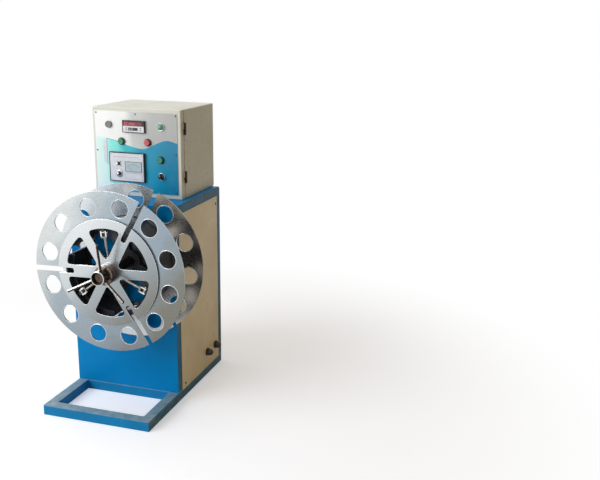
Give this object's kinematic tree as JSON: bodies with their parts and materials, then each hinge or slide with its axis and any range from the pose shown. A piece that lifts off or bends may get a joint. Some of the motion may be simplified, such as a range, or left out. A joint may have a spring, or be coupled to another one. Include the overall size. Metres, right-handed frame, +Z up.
{
  "type": "wire coil winding machine",
  "caption": "Coil winding machine for wire and cable: floor cabinet with a control box on top and a slotted quick release reel on a horizontal shaft, with a collapsible core.",
  "frame": {"origin": "on the floor below the reel shaft, halfway between the tips of the nut arms and the back of the cabinet", "axes": "+Z up, -Y towards the reel and the operator, +X to the right as seen from the front"},
  "size_m": [0.6094, 0.7464, 1.1537],
  "materials": {
    "black_plastic": "semi gloss",
    "black_rubber": "matte",
    "black_steel": "satin black",
    "blue_enamel": "gloss blue enamel",
    "bright_chrome": "bright",
    "cast_iron": "as cast",
    "cream_enamel": "cream enamel",
    "green_plastic": "gloss",
    "grey_plastic": "matte",
    "machined_steel": "machined",
    "oiled_steel": "dark oiled",
    "polished_aluminium": "polished",
    "red_plastic": "gloss",
    "teal_print": "printed"
  },
  "bodies": {
    "machine": {"base_frame": "blue_enamel", "upright_frame": "blue_enamel", "floor_panel": "blue_enamel", "front_panel": "blue_enamel", "top_panel": "blue_enamel", "side_panel_right": "cream_enamel", "side_panel_left": "cream_enamel", "back_panel": "cream_enamel", "cable_gland_1": "black_plastic", "cable_gland_2": "black_plastic", "bearing_shelf": "black_steel", "bearing_housing_1": "cast_iron", "bearing_housing_2": "cast_iron", "gear_motor": "black_steel", "motor_bracket": "black_steel", "drive_belt": "black_rubber", "rotation_sensor": "machined_steel", "box_body": "cream_enamel", "mounting_plate": "machined_steel", "contactor": "black_plastic", "drive_unit": "grey_plastic", "terminal_rail": "grey_plastic"},
    "reel": {"main_shaft": "oiled_steel", "driven_pulley": "cast_iron", "rear_spider": "polished_aluminium", "rear_sector_1": "polished_aluminium", "rear_sector_2": "polished_aluminium", "rear_sector_3": "polished_aluminium", "rear_hub": "oiled_steel", "guide_rails": "black_steel"},
    "collar": {"core_collar": "machined_steel"},
    "claw_1": {"core_claw_1": "black_steel"},
    "link_1": {"core_link_1": "bright_chrome"},
    "claw_2": {"core_claw_2": "black_steel"},
    "link_2": {"core_link_2": "bright_chrome"},
    "claw_3": {"core_claw_3": "black_steel"},
    "link_3": {"core_link_3": "bright_chrome"},
    "front_flange": {"front_spider": "polished_aluminium", "front_sector_1": "polished_aluminium", "front_sector_2": "polished_aluminium", "front_sector_3": "polished_aluminium", "front_hub": "oiled_steel"},
    "nut": {"clamp_nut": "bright_chrome"},
    "motor_drive": {"motor_pulley": "machined_steel"},
    "door": {"box_door": "cream_enamel", "faceplate": "teal_print", "counter": "black_plastic", "speed_unit": "black_plastic", "run_lamp": "green_plastic", "buzzer": "grey_plastic", "red_button_bezel": "black_plastic", "green_button_left_bezel": "black_plastic", "green_button_right_bezel": "black_plastic", "selector_bezel": "black_plastic"},
    "red_button": {"red_button": "red_plastic"},
    "green_button_left": {"green_button_left": "green_plastic"},
    "green_button_right": {"green_button_right": "green_plastic"},
    "selector": {"selector_knob": "black_plastic"},
    "speed_dial": {"speed_knob": "black_plastic"},
    "toggle": {"toggle_lever": "bright_chrome"}
  },
  "joints": [
    {"name": "reel_spin", "type": "hinge", "parent": "machine", "child": "reel", "pos_m": [0, -0.07679, 0.588], "axis": [0, 1, 0], "continuous": true},
    {"name": "motor_spin", "type": "hinge", "parent": "machine", "child": "motor_drive", "pos_m": [0, 0.22321, 0.215], "axis": [0, 1, 0], "continuous": true},
    {"name": "claw_1_slide", "type": "slide", "parent": "reel", "child": "claw_1", "axis": [0.1219, 0, -0.9925], "range_m": [0, 0.02]},
    {"name": "claw_2_slide", "type": "slide", "parent": "reel", "child": "claw_2", "axis": [0.7986, 0, 0.6018], "range_m": [0, 0.02]},
    {"name": "claw_3_slide", "type": "slide", "parent": "reel", "child": "claw_3", "axis": [-0.9205, 0, 0.3907], "range_m": [0, 0.02]},
    {"name": "collar_slide", "type": "slide", "parent": "reel", "child": "collar", "axis": [0, 1, 0], "range_m": [0, 0.06076]},
    {"name": "link_1_swing", "type": "hinge", "parent": "claw_1", "child": "link_1", "pos_m": [-0.01804, -0.26379, 0.7349], "axis": [0.9925, 0, 0.1219], "range_deg": [0, 36.54]},
    {"name": "link_2_swing", "type": "hinge", "parent": "claw_2", "child": "link_2", "pos_m": [-0.1182, -0.26379, 0.49893], "axis": [-0.6018, 0, 0.7986], "range_deg": [0, 36.54]},
    {"name": "link_3_swing", "type": "hinge", "parent": "claw_3", "child": "link_3", "pos_m": [0.13623, -0.26379, 0.53017], "axis": [-0.3907, 0, -0.9205], "range_deg": [0, 36.54]},
    {"name": "flange_off", "type": "slide", "parent": "reel", "child": "front_flange", "axis": [0, -1, 0], "range_m": [0, 0.12]},
    {"name": "nut_turn", "type": "hinge", "parent": "front_flange", "child": "nut", "pos_m": [0, -0.31739, 0.588], "axis": [0, -1, 0], "continuous": true},
    {"name": "door_swing", "type": "hinge", "parent": "machine", "child": "door", "pos_m": [0.1524, 0.08251, 0.9785], "axis": [0, 0, 1], "range_deg": [0, 25]},
    {"name": "red_button_press", "type": "slide", "parent": "door", "child": "red_button", "axis": [0, 1, 0], "range_m": [0, 0.004], "stiffness_N_per_m": 400},
    {"name": "green_button_left_press", "type": "slide", "parent": "door", "child": "green_button_left", "axis": [0, 1, 0], "range_m": [0, 0.004], "stiffness_N_per_m": 400},
    {"name": "green_button_right_press", "type": "slide", "parent": "door", "child": "green_button_right", "axis": [0, 1, 0], "range_m": [0, 0.004], "stiffness_N_per_m": 400},
    {"name": "selector_turn", "type": "hinge", "parent": "door", "child": "selector", "pos_m": [0.06171, 0.05321, 0.89199], "axis": [0, 1, 0], "range_deg": [-45, 45]},
    {"name": "speed_knob_turn", "type": "hinge", "parent": "door", "child": "speed_dial", "pos_m": [-0.1184, 0.04191, 0.89441], "axis": [0, 1, 0], "range_deg": [-140, 140]},
    {"name": "toggle_flip", "type": "hinge", "parent": "door", "child": "toggle", "pos_m": [-0.1184, 0.03791, 0.93461], "axis": [1, 0, 0], "range_deg": [0, 24]}
  ],
  "couplings": [
    {"joint": "motor_spin", "follows": "reel_spin", "ratio": 2},
    {"joint": "claw_2_slide", "follows": "claw_1_slide", "ratio": 1},
    {"joint": "claw_3_slide", "follows": "claw_1_slide", "ratio": 1},
    {"joint": "collar_slide", "follows": "claw_1_slide", "ratio": 3.0332},
    {"joint": "link_1_swing", "follows": "claw_1_slide", "rad_per_m": 31.847},
    {"joint": "link_2_swing", "follows": "claw_1_slide", "rad_per_m": 31.847},
    {"joint": "link_3_swing", "follows": "claw_1_slide", "rad_per_m": 31.847}
  ]
}
